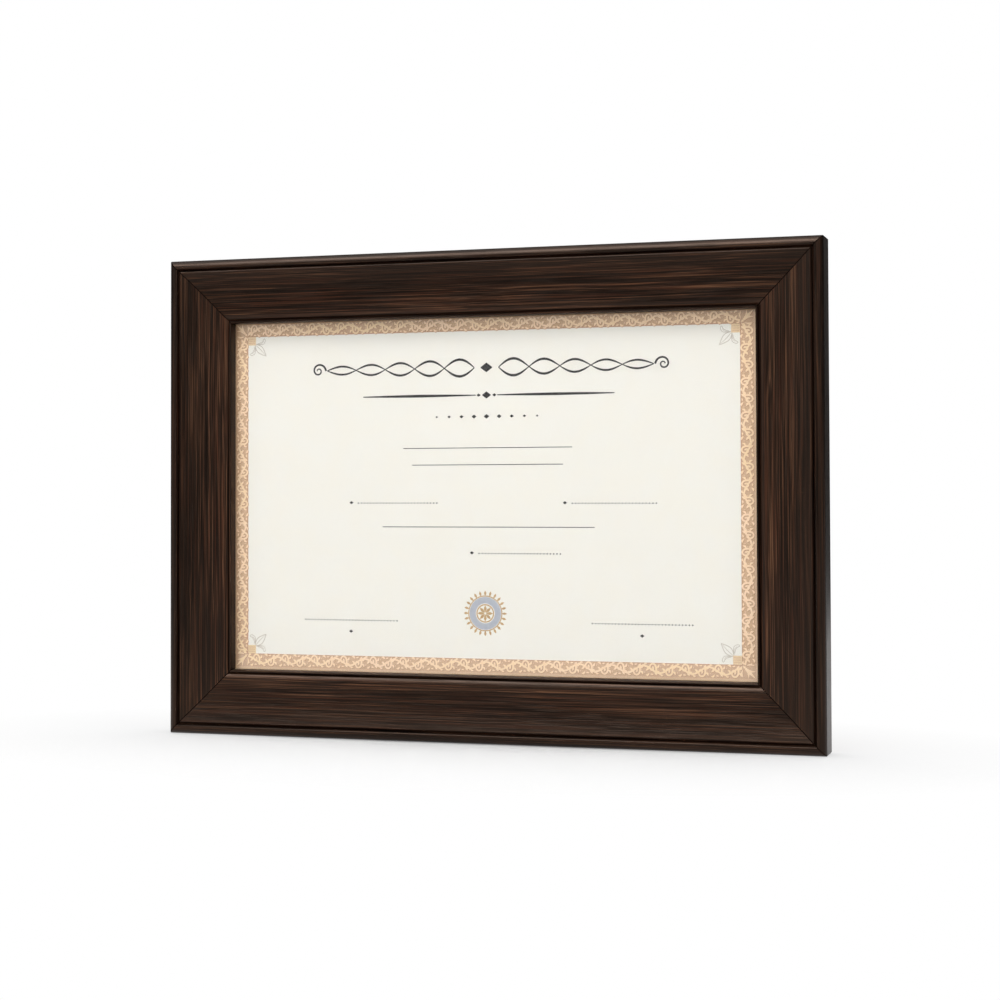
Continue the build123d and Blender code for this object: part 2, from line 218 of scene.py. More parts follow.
def new_material(name):
    """A material with one Principled shader: the material, its node tree and that shader."""
    material = bpy.data.materials.new(name)
    material.use_nodes = True
    tree = material.node_tree
    shader = tree.nodes["Principled BSDF"]
    return material, tree, shader


def object_place(tree, turn=(0.0, 0.0, 0.0)):
    """Object coordinates in millimetres, turned by degrees about x, y and z."""
    place = add(tree, "TexCoord").outputs["Object"]
    mapped = add(tree, "Mapping", Vector=place, Rotation=[math.radians(a) for a in turn])
    mapped.inputs["Scale"].default_value = (1 / MM, 1 / MM, 1 / MM)
    return mapped.outputs["Vector"]


def stretched(tree, place, along, across):
    """Noise coordinates whose unit cell is long along x and narrow across it."""
    made = add(tree, "Mapping", Vector=place)
    made.inputs["Scale"].default_value = (1 / along, 1 / across, 1 / across)
    return made.outputs["Vector"]


def noise(tree, place, scale=1.0, detail=3.0, rough=0.55):
    """A noise value from 0 to 1."""
    made = add(tree, "TexNoise", Vector=place, Scale=scale, Detail=detail, Roughness=rough)
    return made.outputs["Fac"]


def spread(tree, value, low, high, out_low=0.0, out_high=1.0):
    """Map a value from one range to another, clamped."""
    made = add(tree, "MapRange", Value=value)
    made.inputs["From Min"].default_value = low
    made.inputs["From Max"].default_value = high
    made.inputs["To Min"].default_value = out_low
    made.inputs["To Max"].default_value = out_high
    return made.outputs["Result"]


def math_node(tree, operation, first, second):
    """The result of an operation on two values."""
    made = tree.nodes.new("ShaderNodeMath")
    made.operation = operation
    for socket, value in zip(made.inputs, (first, second)):
        feed(tree, socket, value)
    return made.outputs["Value"]


def weighted(tree, value, share):
    """A share of a value."""
    return math_node(tree, "MULTIPLY", value, share)


def tinted(tree, colour, mask, share, tint):
    """A colour that takes up to a share of a tint where a mask lets it through."""
    return mix_colours(tree, weighted(tree, mask, share), colour, tint)


def bump(tree, shader, height, strength, distance):
    """Feed a height in millimetres of relief to a shader's normal."""
    made = add(tree, "Bump", Height=height, Strength=strength, Distance=distance * MM)
    tree.links.new(made.outputs["Normal"], shader.inputs["Normal"])


# Effects that several materials share
def make_grain():
    """Wood grain along x: a tone for the streaks, masks for the pores and the blush, and a height."""
    group, entry, leave = new_group(
        "wood_grain",
        [("Place", "Vector")],
        [("Tone", "Float"), ("Pores", "Float"), ("Blush", "Float"), ("Relief", "Float")],
    )
    place = entry.outputs["Place"]
    sway = noise(group, stretched(group, place, 110.0, 30.0), detail=1.0)
    sway = spread(group, sway, 0.0, 1.0, -0.9, 0.9)
    shift = add(group, "CombineXYZ", Y=sway, Z=sway)
    bent = add(group, "VectorMath", {"operation": "ADD"})
    group.links.new(place, bent.inputs[0])
    group.links.new(shift.outputs["Vector"], bent.inputs[1])
    bent = bent.outputs["Vector"]
    fine = noise(group, stretched(group, bent, 75.0, 0.40), detail=2.0, rough=0.6)
    bands = noise(group, stretched(group, bent, 130.0, 1.2), detail=1.0)
    broad = noise(group, stretched(group, bent, 120.0, 8.0), detail=1.0)
    tone = weighted(group, fine, 0.66)
    tone = math_node(group, "ADD", tone, weighted(group, bands, 0.18))
    tone = math_node(group, "ADD", tone, weighted(group, broad, 0.16))
    group.links.new(spread(group, tone, 0.385, 0.632), leave.inputs["Tone"])
    pores = noise(group, stretched(group, bent, 22.0, 0.40), detail=1.0)
    pores = spread(group, pores, 0.56, 0.68)
    group.links.new(pores, leave.inputs["Pores"])
    blush = noise(group, stretched(group, bent, 70.0, 0.6), detail=1.0)
    group.links.new(spread(group, blush, 0.52, 0.70), leave.inputs["Blush"])
    relief = math_node(group, "SUBTRACT", weighted(group, fine, 0.5), pores)
    group.links.new(relief, leave.inputs["Relief"])
    return group


def make_fibres():
    """Pressed or felted fibres: a fine speckle, broad clouds and a height."""
    group, entry, leave = new_group(
        "felted_fibres",
        [("Place", "Vector"), ("Grain Size", "Float")],
        [("Speckle", "Float"), ("Clouds", "Float"), ("Relief", "Float")],
    )
    sized = add(group, "VectorMath", {"operation": "DIVIDE"})
    group.links.new(entry.outputs["Place"], sized.inputs[0])
    group.links.new(entry.outputs["Grain Size"], sized.inputs[1])
    sized = sized.outputs["Vector"]
    speckle = noise(group, sized, scale=1.0, detail=3.0, rough=0.65)
    strands = noise(group, stretched(group, sized, 6.0, 1.2), detail=2.0)
    clouds = noise(group, sized, scale=0.03, detail=2.0)
    group.links.new(spread(group, speckle, 0.30, 0.70), leave.inputs["Speckle"])
    group.links.new(spread(group, clouds, 0.35, 0.65), leave.inputs["Clouds"])
    group.links.new(math_node(group, "ADD", speckle, strands), leave.inputs["Relief"])
    return group


def make_plating():
    """Rolled and plated sheet metal: a tone, a roughness and a height with fine lines along x."""
    group, entry, leave = new_group(
        "plated_metal",
        [("Place", "Vector"), ("Dull", "Float")],
        [("Tone", "Float"), ("Roughness", "Float"), ("Relief", "Float")],
    )
    place = entry.outputs["Place"]
    lines = noise(group, stretched(group, place, 14.0, 0.12), detail=2.0)
    stains = noise(group, place, scale=0.22, detail=3.0)
    group.links.new(spread(group, stains, 0.30, 0.70), leave.inputs["Tone"])
    stained = spread(group, stains, 0.30, 0.70, -0.08, 0.10)
    lined = spread(group, lines, 0.30, 0.70, -0.04, 0.04)
    rough = math_node(group, "ADD", entry.outputs["Dull"], stained)
    rough = math_node(group, "ADD", rough, lined)
    group.links.new(rough, leave.inputs["Roughness"])
    group.links.new(lines, leave.inputs["Relief"])
    return group


GRAIN = make_grain()
FIBRES = make_fibres()
PLATING = make_plating()


# Finishes
# The attribute tells how far in from the outer edge a point of a rail lies. A painted shade follows it and
# darkens the finish towards the outer edge and at the sight lip.
INWARD = "inward"
PAINTED_SHADE = (
    (0.0, 0.25), (1.2, 0.4), (5.0, 0.42), (9.0, 0.5),
    (17.0, 0.7), (25.0, 0.9), (32.6, 0.9), (33.4, 0.5),
)
PAINTED_SHADE_HUE = (0.96, 0.87, 0.82)


def dark_wood(name, turn):
    """Satin dark brown finish with fine streaks along the rail, with painted shade that darkens it towards
    the outer edge and at the sight lip.
    """
    material, tree, shader = new_material(name)
    grain = use_group(tree, GRAIN, Place=object_place(tree, turn))
    streaks = ramp(tree, grain.outputs["Tone"], [
        (0.00, srgb(7, 4, 3)),
        (0.30, srgb(20, 12, 8)),
        (0.52, srgb(37, 24, 16)),
        (0.75, srgb(66, 45, 32)),
        (1.00, srgb(104, 74, 53)),
    ])
    warm = tinted(tree, streaks, grain.outputs["Blush"], 0.42, srgb(84, 46, 29))
    bare = tinted(tree, warm, grain.outputs["Pores"], 0.7, srgb(11, 6, 4))
    # Painted shade: the colour is darkened by how far in from the outer edge a point lies, and again at
    # the sight lip
    inward = add(tree, "Attribute", {"attribute_name": INWARD}).outputs["Fac"]
    painted_shade = ramp(tree, spread(tree, inward, 0.0, RAIL_W), [
        (at / RAIL_W, (*(tone * hue for hue in PAINTED_SHADE_HUE), 1.0)) for at, tone in PAINTED_SHADE
    ])
    colour = mix_colours(tree, 1.0, bare, painted_shade, "MULTIPLY")
    tree.links.new(colour, shader.inputs["Base Color"])
    satin = spread(tree, grain.outputs["Pores"], 0.0, 1.0, 0.35, 0.55)
    tree.links.new(satin, shader.inputs["Roughness"])
    shader.inputs["Specular IOR Level"].default_value = 0.33
    shader.inputs["Specular Tint"].default_value = srgb(255, 219, 196)
    bump(tree, shader, grain.outputs["Relief"], 0.35, 0.08)
    return material


def mitre_shadow():
    """The dark line of the glued mitres, a painted shade of the crack between the rails."""
    material, tree, shader = new_material("mitre_shadow")
    fibres = use_group(tree, FIBRES, Place=object_place(tree), Grain_Size=0.5)
    colour = mix_colours(tree, fibres.outputs["Speckle"], srgb(20, 13, 10), srgb(36, 25, 19))
    tree.links.new(colour, shader.inputs["Base Color"])
    shader.inputs["Roughness"].default_value = 0.8
    shader.inputs["Specular IOR Level"].default_value = 0.0
    return material


def bare_wood(name, turn):
    """Unfinished moulding stock on the back of the rails."""
    material, tree, shader = new_material(name)
    grain = use_group(tree, GRAIN, Place=object_place(tree, turn))
    streaks = ramp(tree, grain.outputs["Tone"], [
        (0.0, srgb(126, 92, 62)),
        (0.5, srgb(158, 120, 84)),
        (1.0, srgb(182, 146, 106)),
    ])
    colour = tinted(tree, streaks, grain.outputs["Pores"], 0.5, srgb(98, 70, 46))
    tree.links.new(colour, shader.inputs["Base Color"])
    shader.inputs["Roughness"].default_value = 0.72
    shader.inputs["Specular IOR Level"].default_value = 0.25
    bump(tree, shader, grain.outputs["Relief"], 0.5, 0.12)
    return material


def certificate_paper():
    """Heavy cream paper with faint fibres."""
    material, tree, shader = new_material("certificate_paper")
    fibres = use_group(tree, FIBRES, Place=object_place(tree), Grain_Size=0.35)
    laid = mix_colours(tree, fibres.outputs["Speckle"], srgb(240, 237, 229), srgb(246, 244, 237))
    colour = tinted(tree, laid, fibres.outputs["Clouds"], 0.25, srgb(244, 238, 224))
    tree.links.new(colour, shader.inputs["Base Color"])
    shader.inputs["Roughness"].default_value = 0.75
    shader.inputs["Specular IOR Level"].default_value = 0.2
    bump(tree, shader, fibres.outputs["Relief"], 0.15, 0.02)
    return material


def printing_ink(name, light, dark, tint):
    """Flat printing ink that runs between two tones with patches of a tint."""
    material, tree, shader = new_material(name)
    fibres = use_group(tree, FIBRES, Place=object_place(tree), Grain_Size=1.6)
    printed = mix_colours(tree, fibres.outputs["Speckle"], srgb(*dark), srgb(*light))
    colour = tinted(tree, printed, fibres.outputs["Clouds"], 0.6, srgb(*tint))
    tree.links.new(colour, shader.inputs["Base Color"])
    shader.inputs["Roughness"].default_value = 0.6
    shader.inputs["Specular IOR Level"].default_value = 0.2
    return material


def clear_glass():
    """Picture glass that lets the lamps through to the certificate."""
    material, tree, shader = new_material("clear_glass")
    shader.inputs["Base Color"].default_value = (0.995, 0.995, 0.992, 1.0)
    shader.inputs["Roughness"].default_value = 0.0
    shader.inputs["IOR"].default_value = 1.5
    shader.inputs["Transmission Weight"].default_value = 1.0
    through = add(tree, "BsdfTransparent", Color=(0.97, 0.972, 0.968, 1.0))
    path = add(tree, "LightPath")
    mixed = add(tree, "MixShader", Fac=path.outputs["Is Shadow Ray"])
    tree.links.new(shader.outputs["BSDF"], mixed.inputs[1])
    tree.links.new(through.outputs["BSDF"], mixed.inputs[2])
    tree.links.new(mixed.outputs["Shader"], tree.nodes["Material Output"].inputs["Surface"])
    return material


def hardboard():
    """Brown pressed hardboard of the back panel and the strut."""
    material, tree, shader = new_material("hardboard")
    fibres = use_group(tree, FIBRES, Place=object_place(tree), Grain_Size=0.9)
    board = mix_colours(tree, fibres.outputs["Speckle"], srgb(104, 70, 44), srgb(140, 98, 64))
    colour = tinted(tree, board, fibres.outputs["Clouds"], 0.5, srgb(116, 76, 46))
    tree.links.new(colour, shader.inputs["Base Color"])
    worn = spread(tree, fibres.outputs["Speckle"], 0.0, 1.0, 0.55, 0.70)
    tree.links.new(worn, shader.inputs["Roughness"])
    shader.inputs["Specular IOR Level"].default_value = 0.3
    bump(tree, shader, fibres.outputs["Relief"], 0.4, 0.06)
    return material


def grey_card():
    """Grey-brown filler card."""
    material, tree, shader = new_material("grey_card")
    fibres = use_group(tree, FIBRES, Place=object_place(tree), Grain_Size=0.6)
    colour = mix_colours(tree, fibres.outputs["Speckle"], srgb(160, 142, 118), srgb(184, 166, 142))
    tree.links.new(colour, shader.inputs["Base Color"])
    shader.inputs["Roughness"].default_value = 0.85
    bump(tree, shader, fibres.outputs["Relief"], 0.3, 0.05)
    return material


def plated(name, bright, stained, dull):
    """Plated sheet metal with faint rolling lines and stains."""
    material, tree, shader = new_material(name)
    plating = use_group(tree, PLATING, Place=object_place(tree), Dull=dull)
    colour = mix_colours(tree, plating.outputs["Tone"], stained, bright)
    tree.links.new(colour, shader.inputs["Base Color"])
    tree.links.new(plating.outputs["Roughness"], shader.inputs["Roughness"])
    shader.inputs["Metallic"].default_value = 1.0
    bump(tree, shader, plating.outputs["Relief"], 0.12, 0.02)
    return material


GRAIN_UPRIGHT = (0.0, 90.0, 0.0)
GRAIN_ACROSS = (0.0, 0.0, 0.0)
wood_across = dark_wood("dark_wood_across", GRAIN_ACROSS)
wood_upright = dark_wood("dark_wood_upright", GRAIN_UPRIGHT)
stock_across = bare_wood("bare_wood_across", GRAIN_ACROSS)
stock_upright = bare_wood("bare_wood_upright", GRAIN_UPRIGHT)
seam = mitre_shadow()
paper = certificate_paper()

# Inks, each with its light tone, its dark tone and its tint
ink_ground = printing_ink("border_ground_ink", (222, 186, 150), (206, 168, 132), (212, 174, 144))
ink_light = printing_ink("border_scroll_ink", (255, 228, 198), (246, 212, 178), (246, 220, 172))
ink_shade = printing_ink("border_shade_ink", (204, 164, 130), (190, 150, 116), (206, 156, 132))
ink_margin = printing_ink("border_margin_ink", (230, 198, 166), (218, 184, 152), (224, 192, 154))
ink_block = printing_ink("corner_block_ink", (240, 214, 178), (230, 202, 164), (236, 210, 164))
ink_grey = printing_ink("corner_leaf_ink", (204, 197, 186), (188, 182, 172), (200, 188, 172))
ink_black = printing_ink("black_ink", (38, 36, 36), (24, 22, 22), (30, 28, 27))
ink_gold = printing_ink("gold_ink", (206, 172, 122), (186, 150, 100), (196, 158, 104))
ink_slate = printing_ink("slate_ink", (190, 194, 204), (172, 177, 189), (180, 184, 195))


# Rails
class SectionPen:
    """Draws the moulding's section as a wire in the plane x = 0, from (inward, height) points."""

    def __init__(self, bm, start):
        self.bm = bm
        self.first = bm.verts.new(self.place(start))
        self.tip = self.first

    @staticmethod
    def place(point):
        """A point of the section in metres."""
        inward, height = point
        return vec(0.0, BACK - height, inward)

    def line(self, *points):
        """Straight runs to each point in turn."""
        for point in points:
            made = bmesh.ops.extrude_vert_indiv(self.bm, verts=[self.tip])
            self.tip = made["verts"][0]
            self.tip.co = self.place(point)

    def arc(self, point, rise, steps):
        """A round run to a point, bowed sideways by rise at its middle."""
        start = self.tip.co.copy()
        end = self.place(point)
        chord = end - start
        across = Vector((0.0, -chord.z, chord.y)).normalized()
        bow = rise * MM
        radius = (chord.length_squared / 4 + bow * bow) / (2 * bow)
        centre = (start + end) / 2 + across * (bow - radius)
        angle = math.copysign(2 * math.asin(chord.length / 2 / abs(radius)), -radius)
        made = bmesh.ops.spin(
            self.bm, geom=[self.tip], cent=centre, axis=(1, 0, 0), angle=angle,
            steps=steps, use_merge=False,
        )
        self.tip = made["geom_last"][0]

    def close(self):
        """Join the last point to the first and fill the wire."""
        bmesh.ops.contextual_create(self.bm, geom=[self.tip, self.first])
        return bmesh.ops.edgeloop_fill(self.bm, edges=self.bm.edges[:])["faces"][0]


def draw_section(bm):
    """The moulding's section from its outer back edge round the front to the rabbet."""
    crest = RABBET_DEPTH + LIP_T
    groove_end = OUTER_BEAD_W + GROOVE_W
    hollow_top = DEPTH - HOLLOW_DROP
    bead_end = RAIL_W - LIP_W - QUIRK_W
    bead_top = crest - INNER_BEAD_DROP
    bead_foot = bead_top - INNER_BEAD_FALL
    pen = SectionPen(bm, (BACK_EASE, BACK_SKIN))
    pen.line((0.0, BACK_EASE), (0.0, DEPTH - OUTER_BEAD_R))
    pen.arc((OUTER_BEAD_R, DEPTH), QUARTER_RISE * OUTER_BEAD_R, steps=12)
    pen.line((OUTER_BEAD_W - OUTER_BEAD_EDGE, DEPTH))
    pen.arc((OUTER_BEAD_W, DEPTH - OUTER_BEAD_EDGE), OUTER_BEAD_EDGE_BOW, steps=5)
    pen.line((OUTER_BEAD_W + GROOVE_W / 2, DEPTH - GROOVE_DEPTH))
    pen.line((groove_end, hollow_top - HOLLOW_EDGE_H))
    pen.arc((groove_end + HOLLOW_EDGE_W, hollow_top), HOLLOW_EDGE_BOW, steps=4)
    pen.arc((bead_end - INNER_BEAD_W, bead_top), -HOLLOW_SAG, steps=28)
    pen.arc((bead_end, bead_foot), INNER_BEAD_BOW, steps=14)
    pen.line((bead_end + QUIRK_W / 2, bead_foot - QUIRK_DEPTH))
    pen.line((bead_end + QUIRK_W, crest - LIP_DROP))
    pen.arc((RAIL_W - SIGHT_SLOPE, crest - LIP_FALL), LIP_BOW, steps=4)
    pen.line((RAIL_W, RABBET_DEPTH), (RABBET_IN, RABBET_DEPTH), (RABBET_IN, BACK_SKIN))
    return pen.close()


def cut_away(bm, point, outward):
    """Cut everything on the outward side of a plane away and close the cut."""
    everything = bm.verts[:] + bm.edges[:] + bm.faces[:]
    made = bmesh.ops.bisect_plane(
        bm, geom=everything, plane_co=point, plane_no=outward, clear_outer=True
    )
    edges = [part for part in made["geom_cut"] if isinstance(part, bmesh.types.BMEdge)]
    return bmesh.ops.edgeloop_fill(bm, edges=edges)["faces"][0]


# Material slots of a rail, in the order in which its materials are given
FINISH_SLOT, SEAM_SLOT, STOCK_SLOT = range(3)


def make_rail(name, length, quarter_turns, finish, stock):
    """One mitred rail, made as the bottom rail and turned to its side of the frame."""
    bm = bmesh.new()
    section = draw_section(bm)
    bmesh.ops.translate(bm, verts=bm.verts, vec=vec(-length / 2, 0.0, 0.0))
    made = bmesh.ops.extrude_face_region(bm, geom=[section])
    far_end = [part for part in made["geom"] if isinstance(part, bmesh.types.BMVert)]
    bmesh.ops.translate(bm, verts=far_end, vec=vec(length, 0.0, 0.0))
    bmesh.ops.recalc_face_normals(bm, faces=bm.faces)
    for side in (-1, 1):
        for cut in range(1, CORNER_CUTS + 1):
            angle = math.radians(45.0) * cut / CORNER_CUTS
            outward = Vector((side * math.sin(angle), 0.0, -math.cos(angle)))
            centre = vec(side * (length / 2 - CORNER_R), 0.0, CORNER_R)
            cut_away(bm, centre + outward * CORNER_R * MM, outward)
    for side in (-1, 1):
        outward = Vector((side, 0.0, 1.0)).normalized()
        mitre = cut_away(bm, vec(side * length / 2, 0.0, 0.0), outward)
        eased = bmesh.ops.bevel(
            bm, geom=mitre.edges[:], offset=MITRE_EASE * MM, offset_type="OFFSET", affect="EDGES",
            segments=1, profile=0.5, material=-1, clamp_overlap=False,
        )
        # The eased mitre edges take the dark seam material, painted shade of the crack between the rails
        for face in eased["faces"]:
            face.material_index = SEAM_SLOT
    bmesh.ops.recalc_face_normals(bm, faces=bm.faces)
    if bm.calc_volume(signed=True) < 0.0:
        bmesh.ops.reverse_faces(bm, faces=bm.faces)
    bm.normal_update()
    for face in bm.faces:
        if face.material_index == FINISH_SLOT and face.normal.y > BACKWARD:
            face.material_index = STOCK_SLOT
    inward = bm.verts.layers.float.new(INWARD)
    for vert in bm.verts:
        vert[inward] = vert.co.z / MM
    reach = FRAME_W / 2 if quarter_turns % 2 else FRAME_H / 2
    bmesh.ops.translate(bm, verts=bm.verts, vec=vec(0.0, 0.0, -reach))
    to_side = Matrix.Rotation(-math.pi / 2 * quarter_turns, 3, "Y")
    bmesh.ops.rotate(bm, verts=bm.verts, matrix=to_side)
    bmesh.ops.translate(bm, verts=bm.verts, vec=vec(0.0, 0.0, MIDDLE))
    mesh = bpy.data.meshes.new(name)
    bm.to_mesh(mesh)
    bm.free()
    piece = finish_piece(name + "_moulding", mesh, [finish, seam, stock])
    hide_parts(name)


make_rail("bottom_rail", FRAME_W, 0, wood_across, stock_across)
make_rail("right_rail", FRAME_H, 1, wood_upright, stock_upright)
make_rail("top_rail", FRAME_W, 2, wood_across, stock_across)
make_rail("left_rail", FRAME_H, 3, wood_upright, stock_upright)


# Print on the certificate, as thin layers of ink on the paper
# The border runs outwards from an inner edge, with s along it and t across it
PRINT_CENTRE = Vector((-0.9, MIDDLE + 0.7))
BORDER_HALVES = (137.1, 87.25)
BORDER_W = 11.4
ORNAMENT_W = 6.9
STRIP_GAP = 0.2
EDGE_LINE = 0.56
SCROLL_COUNTS = (32, 20)
SCROLL_PITCH = 11.425
VINE_SWING = 1.9
VINE_POINTS = 6
VINE_HALF = 0.42
VINE_SWELL = 0.12
SHADE_SHIFT = (0.22, -0.22)
SHADE_WIDEN = 0.12
SPIRAL_THINNING = 0.45
LEAF_HALVES = ((0.0, 0.25), (0.35, 0.9), (0.6, 1.0), (1.0, 0.12))
CORNER_BLOCK = 4.6
BAR_COUNT = 3
BAR_INSET = 0.4
BAR_START = 1.1
BAR_PITCH = 1.2
BAR_HALVES = (0.3, 0.2)
SPRIG_OVERLAP = 0.4
SPRIG_LINE = 0.13

# Inks lie flat, each a hair before the one below. Strokes of one ink are staggered so as not to merge.
INK_FLATNESS = 0.05
STROKE_STAGGER = 0.001
MERGE_GAP = 0.0001
GROUND_INK_T = 0.03
STRIP_INK_T = 0.008
LINE_INK_T = 0.012
SCROLL_RISE = 0.03
PEN_LEVEL = 0.012
FINE_LEVEL = 0.005


def print_strokes(name, strokes, ink, level, smoothness=3, closed=False):
    """Pen strokes of ink as lists of (x, z, half width) points, at a level before the paper."""
    curve = bpy.data.curves.new(name, "CURVE")
    curve.dimensions = "3D"
    curve.resolution_u = smoothness
    # With a depth of 1, a point's radius is the stroke's half width there
    curve.bevel_depth = 1.0
    curve.bevel_resolution = 0
    curve.use_fill_caps = True
    for number, stroke in enumerate(strokes):
        spline = curve.splines.new("BEZIER")
        spline.bezier_points.add(len(stroke) - 1)
        spline.use_cyclic_u = closed
        for point, (x, z, half) in zip(spline.bezier_points, stroke):
            point.co = vec(x, STROKE_STAGGER * (number % 2), z)
            point.radius = half * MM
            point.handle_left_type = "AUTO"
            point.handle_right_type = "AUTO"
    drawn = bpy.data.objects.new(name, curve)
    bpy.context.scene.collection.objects.link(drawn)
    mesh = bpy.data.meshes.new_from_object(drawn)
    bpy.data.objects.remove(drawn)
    bm = bmesh.new()
    bm.from_mesh(mesh)
    bmesh.ops.remove_doubles(bm, verts=bm.verts, dist=MERGE_GAP * MM)
    bmesh.ops.scale(bm, verts=bm.verts, vec=(1.0, INK_FLATNESS, 1.0))
    bmesh.ops.translate(bm, verts=bm.verts, vec=vec(0.0, PAPER_FACE - level, 0.0))
    bmesh.ops.recalc_face_normals(bm, faces=bm.faces)
    bm.to_mesh(mesh)
    bm.free()
    return finish_piece(name, mesh, [ink])


def print_panels(name, panels, ink, level, thickness):
    """Flat rectangles of ink, each (centre, width, height), from level towards the front."""
    bm = bmesh.new()
    for centre, width, height in panels:
        made = bmesh.ops.create_cube(bm, size=1.0)
        bmesh.ops.scale(bm, verts=made["verts"], vec=vec(width, thickness, height))
        middle = vec(centre.x, PAPER_FACE - level - thickness / 2, centre.y)
        bmesh.ops.translate(bm, verts=made["verts"], vec=middle)
    mesh = bpy.data.meshes.new(name)
    bm.to_mesh(mesh)
    bm.free()
    return finish_piece(name, mesh, [ink], smooth=False)


def ring_panels(inner, outer):
    """Four butted panels that make a ring between two offsets from the border's inner edge."""
    half_w, half_h = BORDER_HALVES
    width = outer - inner
    middle = (inner + outer) / 2
    panels = []
    for side in (-1, 1):
        beside = PRINT_CENTRE + Vector((side * (half_w + middle), 0.0))
        panels.append((beside, width, 2 * (half_h + inner)))
        above = PRINT_CENTRE + Vector((0.0, side * (half_h + middle)))
        panels.append((above, 2 * (half_w + outer), width))
    return panels


def turned(point, quarter_turns):
    """A point about the print's centre turned by quarter turns."""
    x, z = point
    for _ in range(quarter_turns % 4):
        x, z = -z, x
    return x, z


def on_border(side, stroke, shift=(0.0, 0.0), widen=0.0):
    """A stroke of (s, t, half width) points laid on one side of the border, 0 being the bottom."""
    reach = BORDER_HALVES[1 - side % 2]
    laid = []
    for s, t, half in stroke:
        x, z = turned((s, -(reach + t)), side)
        x += PRINT_CENTRE.x + shift[0]
        z += PRINT_CENTRE.y + shift[1]
        laid.append((x, z, half + widen))
    return laid


def spiral(centre, radius, decay, start, turns, half, steps):
    """A stroke that winds in round a centre and thins, with start in degrees."""
    points = []
    for step in range(steps + 1):
        wound = turns * step / steps
        angle = math.radians(start) + 2 * math.pi * wound
        reach = radius * math.exp(-decay * abs(wound))
        thin = half * (1 - SPIRAL_THINNING * step / steps)
        x = centre[0] + reach * math.cos(angle)
        y = centre[1] + reach * math.sin(angle)
        points.append((x, y, thin))
    return points


def leaf(base, tip, half, bend=0.0):
    """A stroke that swells and runs out to a point, bent sideways by a share of its length."""
    run = Vector(tip) - Vector(base)
    side = Vector((-run.y, run.x)) * bend
    stroke = []
    for share, width in LEAF_HALVES:
        point = Vector(base) + run * share + side * math.sin(math.pi * share)
        stroke.append((point.x, point.y, half * width))
    return stroke


def scroll_motif():
    """One scroll of the border about its own middle: a spiral with leaves and a berry."""
    return [
        spiral((0.4, 4.2), 3.2, 1.15, -30.0, 1.3, 0.52, 11),
        leaf((2.9, 2.7), (5.7, 0.7), 0.72, 0.15),
        leaf((2.0, 1.8), (3.9, 0.4), 0.5, 0.1),
        leaf((-4.0, 2.9), (-2.2, 5.2), 0.6, -0.2),
        leaf((-1.7, 1.5), (-4.2, 0.6), 0.55, 0.2),
        leaf((-3.2, 6.2), (-5.5, 5.6), 0.5, -0.2),
        leaf((3.5, 4.4), (5.3, 6.2), 0.55, -0.2),
        leaf((-0.8, 0.9), (1.3, 0.6), 0.4, 0.1),
        [(0.35, 4.2, 0.2), (0.6, 4.2, 0.7), (0.85, 4.2, 0.2)],
        [(4.3, 3.6, 0.15), (4.5, 3.6, 0.5), (4.7, 3.6, 0.15)],
        [(-5.0, 1.9, 0.15), (-4.8, 1.9, 0.45), (-4.6, 1.9, 0.15)],
    ]


def border_strokes():
    """All strokes of the scroll border as (side, stroke) pairs in border places."""
    strokes = []
    for side in range(4):
        half_length = BORDER_HALVES[side % 2]
        count = SCROLL_COUNTS[side % 2]
        pitch = 2 * half_length / count
        fit = pitch / SCROLL_PITCH
        steps = count * VINE_POINTS // 2
        vine = []
        for step in range(steps + 1):
            s = -half_length + 2 * half_length * step / steps
            swing = math.cos(math.pi * (s + half_length) / pitch)
            vine.append((s, ORNAMENT_W / 2 - VINE_SWING * swing, VINE_HALF + VINE_SWELL * abs(swing)))
        strokes.append((side, vine))
        for scroll in range(count):
            middle = -half_length + pitch * (scroll + 0.5)
            for stroke in scroll_motif():
                laid = []
                for s, t, half in stroke:
                    laid.append((middle + s * fit, t if scroll % 2 else ORNAMENT_W - t, half))
                strokes.append((side, laid))
        for stroke in corner_motif():
            strokes.append((side, [(half_length + s, t, half) for s, t, half in stroke]))
    return strokes


def corner_motif():
    """The palmette that fills a corner of the border, with s and t outwards from the inner corner."""
    return [
        leaf((0.6, 0.6), (7.0, 7.0), 0.75),
        leaf((1.6, 2.2), (3.4, 7.0), 0.5, -0.15),
        leaf((2.2, 1.6), (7.0, 3.4), 0.5, 0.15),
        leaf((0.4, 2.4), (0.6, 6.6), 0.42, 0.15),
        leaf((2.4, 0.4), (6.6, 0.6), 0.42, -0.15),
        [(1.0, 1.0, 0.3), (1.3, 1.3, 0.75), (1.6, 1.6, 0.3)],
    ]


def sprig_motif():
    """The leaf sprig that points inwards from a corner block, along and across its diagonal."""
    fine = SPRIG_LINE
    blade = [(0.2, 0.3), (1.8, 1.3), (4.0, 1.9), (6.6, 1.2), (9.2, 0.0)]
    leaflet = [(0.5, 0.8), (2.6, 2.4), (3.4, 4.2), (1.7, 6.1), (2.0, 4.4), (1.5, 2.6), (0.7, 1.3)]
    strokes = [[(0.6, 0.0, fine), (4.0, 0.25, fine * 1.2), (8.2, 0.0, fine * 0.7)]]
    for side in (-1, 1):
        strokes.append([(along, side * across, fine * 1.4) for along, across in blade])
        strokes.append([(along, side * across, fine * 1.2) for along, across in leaflet])
        strokes.append([
            (1.0, side * 1.2, fine * 0.8), (2.3, side * 2.9, fine), (2.4, side * 4.8, fine * 0.5)
        ])
    return strokes


def corner_points():
    """The border's four inner corners with the directions that point inwards from them."""
    for side_x in (-1, 1):
        for side_z in (-1, 1):
            out = Vector((side_x * BORDER_HALVES[0], side_z * BORDER_HALVES[1]))
            yield PRINT_CENTRE + out, Vector((-side_x, -side_z))


